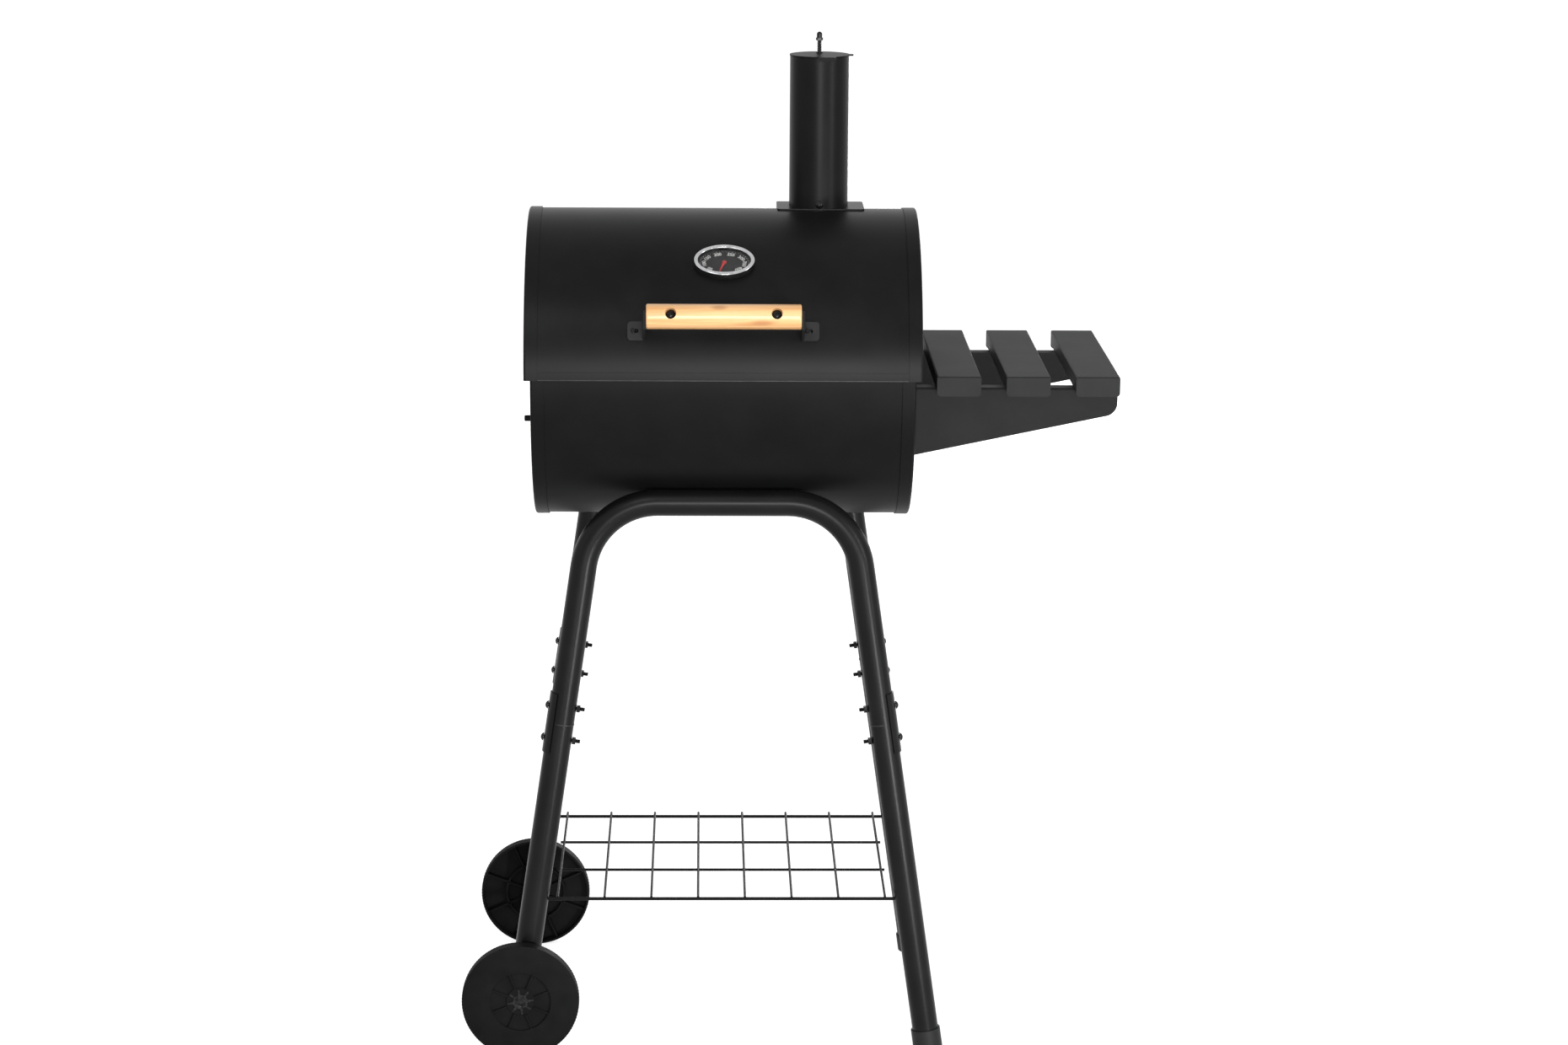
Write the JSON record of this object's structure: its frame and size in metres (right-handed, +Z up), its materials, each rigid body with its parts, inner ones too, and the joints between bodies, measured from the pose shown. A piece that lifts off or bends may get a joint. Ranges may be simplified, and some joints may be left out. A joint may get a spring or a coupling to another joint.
{
  "type": "charcoal barrel grill",
  "caption": "Barrel grill smoker on splayed tube legs with hinged lid, smoke stack, oval gauge, wooden handle, wheels, wire rack and slatted side shelf.",
  "frame": {"origin": "on the ground, below the middle of the whole grill's outline", "axes": "+X along the barrel towards the side shelf, +Y to the rear where the hinges are, +Z up"},
  "size_m": [0.7888, 0.464, 1.2249],
  "materials": {
    "black_paint": "satin black heat-proof paint",
    "frame_paint": "satin black powder coat",
    "shelf_paint": "satin black powder coat",
    "wire_paint": "black coated wire",
    "inner_steel": "matt black steel",
    "cast_iron": "matt seasoned iron",
    "zinc": "zinc plated",
    "black_fastener": "blackened steel",
    "grip_wood": "light oiled hardwood",
    "gauge_black": "black",
    "gauge_chrome": "polished",
    "gauge_glass": "clear",
    "dial_black": "matt black dial",
    "needle_red": "red",
    "probe_steel": "plain",
    "wheel_plastic": "moulded black",
    "cap_plastic": "moulded black"
  },
  "bodies": {
    "stand": {"body_shell": "black_paint", "body_end_left": "black_paint", "body_end_right": "black_paint", "grate_rests": "inner_steel", "vent_rivet": "zinc", "hinge_body_leaves": "black_paint", "hinge_pins": "zinc", "front_arch": "frame_paint", "rear_arch": "frame_paint", "leg_front_left": "frame_paint", "leg_front_right": "frame_paint", "leg_rear_left": "frame_paint", "leg_rear_right": "frame_paint", "joint_sleeves": "inner_steel", "joint_plates": "frame_paint", "joint_bolts": "black_fastener", "joint_nuts": "black_fastener", "arch_bolts": "black_fastener", "axle": "zinc", "axle_washers": "zinc", "push_nuts": "gauge_chrome", "foot_cap_front": "cap_plastic", "foot_cap_rear": "cap_plastic", "wire_rack": "wire_paint", "shelf_bracket_front": "shelf_paint", "shelf_bracket_rear": "shelf_paint", "shelf_slat_1": "shelf_paint", "shelf_slat_2": "shelf_paint", "shelf_slat_3": "shelf_paint", "shelf_bolts": "black_fastener"},
    "lid": {"lid_shell": "black_paint", "lid_end_left": "black_paint", "lid_end_right": "black_paint", "hinge_lid_leaves": "black_paint", "handle_strap": "black_paint", "handle_grip": "grip_wood", "handle_grip_screws": "black_fastener", "handle_foot_screws": "black_fastener", "gauge_case": "gauge_black", "gauge_bezel": "gauge_chrome", "gauge_lens": "gauge_glass", "gauge_dial": "dial_black", "gauge_stem": "probe_steel", "gauge_nut": "zinc", "stack_base": "black_paint", "stack_tube": "black_paint", "stack_screws": "black_fastener", "damper_strap": "black_paint", "damper_bolt": "black_fastener", "damper_spring": "black_fastener", "damper_nut": "black_fastener", "damper_washer": "black_fastener"},
    "damper": {"damper_disc": "black_paint"},
    "needle": {"gauge_needle": "needle_red"},
    "vent": {"vent_disc": "black_paint"},
    "wheel_front": {"wheel_front": "wheel_plastic"},
    "wheel_rear": {"wheel_rear": "wheel_plastic"},
    "grate_left": {"cooking_grate_left": "cast_iron"},
    "grate_right": {"cooking_grate_right": "cast_iron"},
    "charcoal": {"charcoal_grate": "inner_steel"}
  },
  "joints": [
    {"name": "lid_hinge", "type": "hinge", "parent": "stand", "child": "lid", "pos_m": [-0.07837, 0.21163, 0.8375], "axis": [-1, 0, 0], "range_deg": [0, 85]},
    {"name": "damper_pivot", "type": "hinge", "parent": "lid", "child": "damper", "pos_m": [0.03863, 0.06492, 1.1973], "axis": [0, 0, 1], "range_deg": [0, 90]},
    {"name": "needle_spindle", "type": "hinge", "parent": "lid", "child": "needle", "pos_m": [-0.07737, -0.10887, 0.96433], "axis": [0, 0.6691, -0.7431], "range_deg": [0, 270]},
    {"name": "vent_pivot", "type": "hinge", "parent": "stand", "child": "vent", "pos_m": [-0.30637, 0.01792, 0.7285], "axis": [-1, 0, 0], "range_deg": [0, 60]},
    {"name": "wheel_front_spin", "type": "hinge", "parent": "stand", "child": "wheel_front", "pos_m": [-0.32293, -0.17423, 0.0715], "axis": [0, 1, 0], "continuous": true},
    {"name": "wheel_rear_spin", "type": "hinge", "parent": "stand", "child": "wheel_rear", "pos_m": [-0.32293, 0.21008, 0.0715], "axis": [0, 1, 0], "continuous": true},
    {"name": "grate_left_lift", "type": "slide", "parent": "stand", "child": "grate_left", "axis": [0, 0, 1], "range_m": [0, 0.04]},
    {"name": "grate_right_lift", "type": "slide", "parent": "stand", "child": "grate_right", "axis": [0, 0, 1], "range_m": [0, 0.04]},
    {"name": "charcoal_lift", "type": "slide", "parent": "stand", "child": "charcoal", "axis": [0, 0, 1], "range_m": [0, 0.04]}
  ]
}
